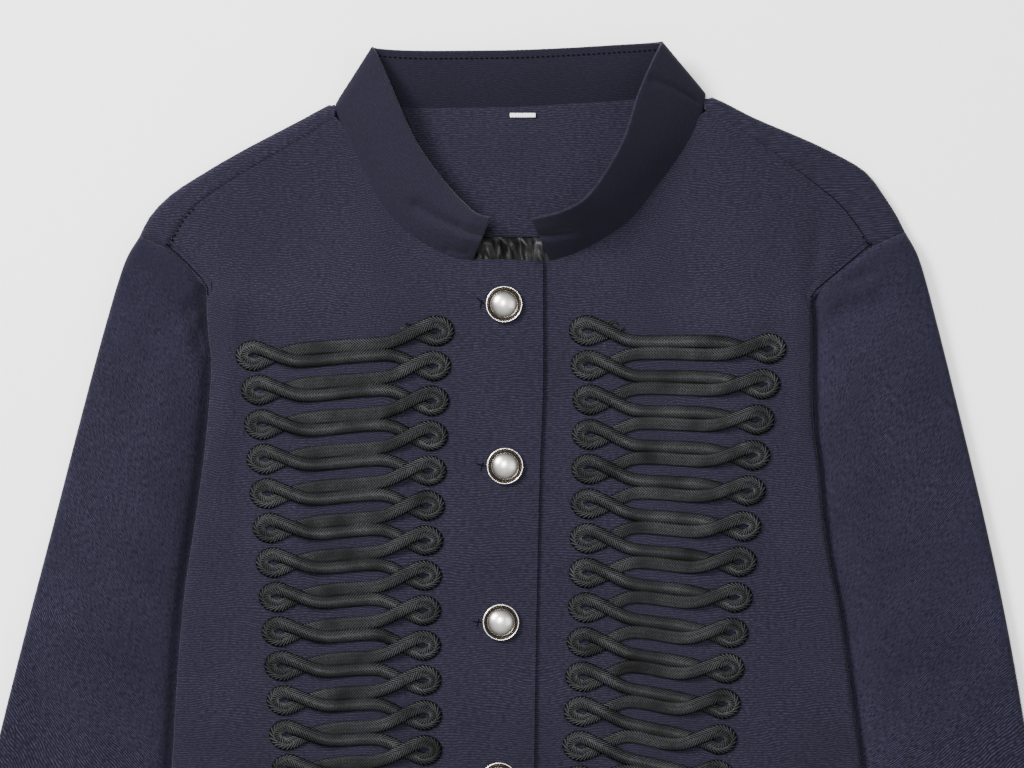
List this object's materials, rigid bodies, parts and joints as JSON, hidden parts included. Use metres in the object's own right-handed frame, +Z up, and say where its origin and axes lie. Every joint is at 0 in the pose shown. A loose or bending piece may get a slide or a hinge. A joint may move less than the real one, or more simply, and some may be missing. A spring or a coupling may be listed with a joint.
{
  "type": "short coat",
  "caption": "Short military coat in ribbed cloth, laid flat front up, with a band collar, domed metal buttons and braid in looped rows down each front.",
  "frame": {"origin": "on the underside of the back, on the coat's middle line, about halfway from the neck to the hem", "axes": "+X to the wearer's left, +Y towards the collar, +Z up from the surface, out of the front of the coat"},
  "size_m": [0.6818, 0.7072, 0.0308],
  "materials": {
    "navy": "matte",
    "lining": "satin",
    "braid": "matte",
    "silver": "satin",
    "label": "matte"
  },
  "bodies": {
    "root": {"back": "navy", "front_right": "navy", "front_left": "navy", "sleeve_right": "navy", "sleeve_left": "navy", "collar": "navy", "back_neck_facing": "navy", "lining": "lining", "label": "label", "button_1": "silver", "button_2": "silver", "button_3": "silver", "button_4": "silver", "button_5": "silver", "button_6": "silver", "braid_right": "braid", "braid_left": "braid"}
  },
  "joints": []
}
